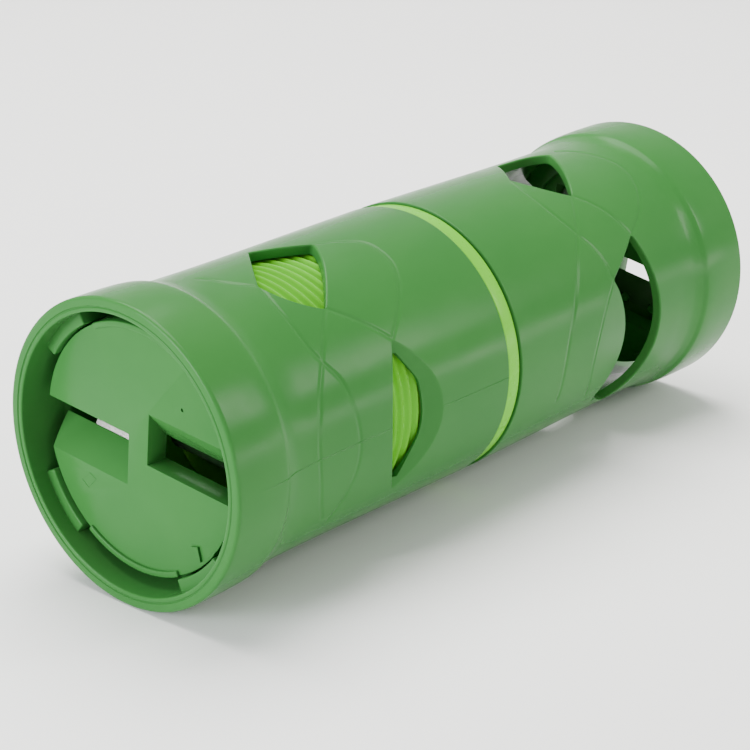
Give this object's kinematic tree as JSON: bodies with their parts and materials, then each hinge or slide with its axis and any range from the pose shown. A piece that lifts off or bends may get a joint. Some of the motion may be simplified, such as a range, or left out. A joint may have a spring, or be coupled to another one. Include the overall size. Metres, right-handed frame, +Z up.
{
  "type": "spiral vegetable slicer",
  "caption": "Hand-held double-ended barrel slicer: two windowed halves twist on a middle ring and a ribbed feed screw pushes food against recessed cutter discs.",
  "frame": {"origin": "under the middle of the barrel, on the surface it lies on", "axes": "+X along the barrel towards the rear rim, +Z up, the barrel lying on its side"},
  "size_m": [0.16, 0.06, 0.06],
  "materials": {
    "green_plastic": "semi-gloss moulded",
    "light_green_plastic": "semi-gloss moulded",
    "blade_steel": "ground stainless steel"
  },
  "bodies": {
    "rear_half": {"rear_barrel": "green_plastic", "mid_ring": "light_green_plastic"},
    "front_half": {"front_barrel": "green_plastic"},
    "feed": {"feed_screw": "light_green_plastic", "front_gripper": "light_green_plastic", "rear_gripper": "light_green_plastic"},
    "front_cutter": {"front_cutter_disc": "green_plastic", "front_blade_a": "blade_steel", "front_blade_b": "blade_steel"},
    "rear_cutter": {"rear_cutter_disc": "green_plastic", "rear_blade_a": "blade_steel", "rear_blade_b": "blade_steel"}
  },
  "joints": [
    {"name": "barrel_twist", "type": "hinge", "parent": "rear_half", "child": "front_half", "pos_m": [0, 0, 0.03], "axis": [1, 0, 0], "range_deg": [-4320, 2160]},
    {"name": "feed_travel", "type": "slide", "parent": "rear_half", "child": "feed", "axis": [1, 0, 0], "range_m": [-0.01291, 0.02581]},
    {"name": "front_cutter_pull", "type": "slide", "parent": "front_half", "child": "front_cutter", "axis": [-1, 0, 0], "range_m": [0, 0.016]},
    {"name": "rear_cutter_pull", "type": "slide", "parent": "rear_half", "child": "rear_cutter", "axis": [1, 0, 0], "range_m": [0, 0.016]}
  ],
  "couplings": [
    {"joint": "feed_travel", "follows": "barrel_twist", "m_per_rad": -0.00034218}
  ]
}
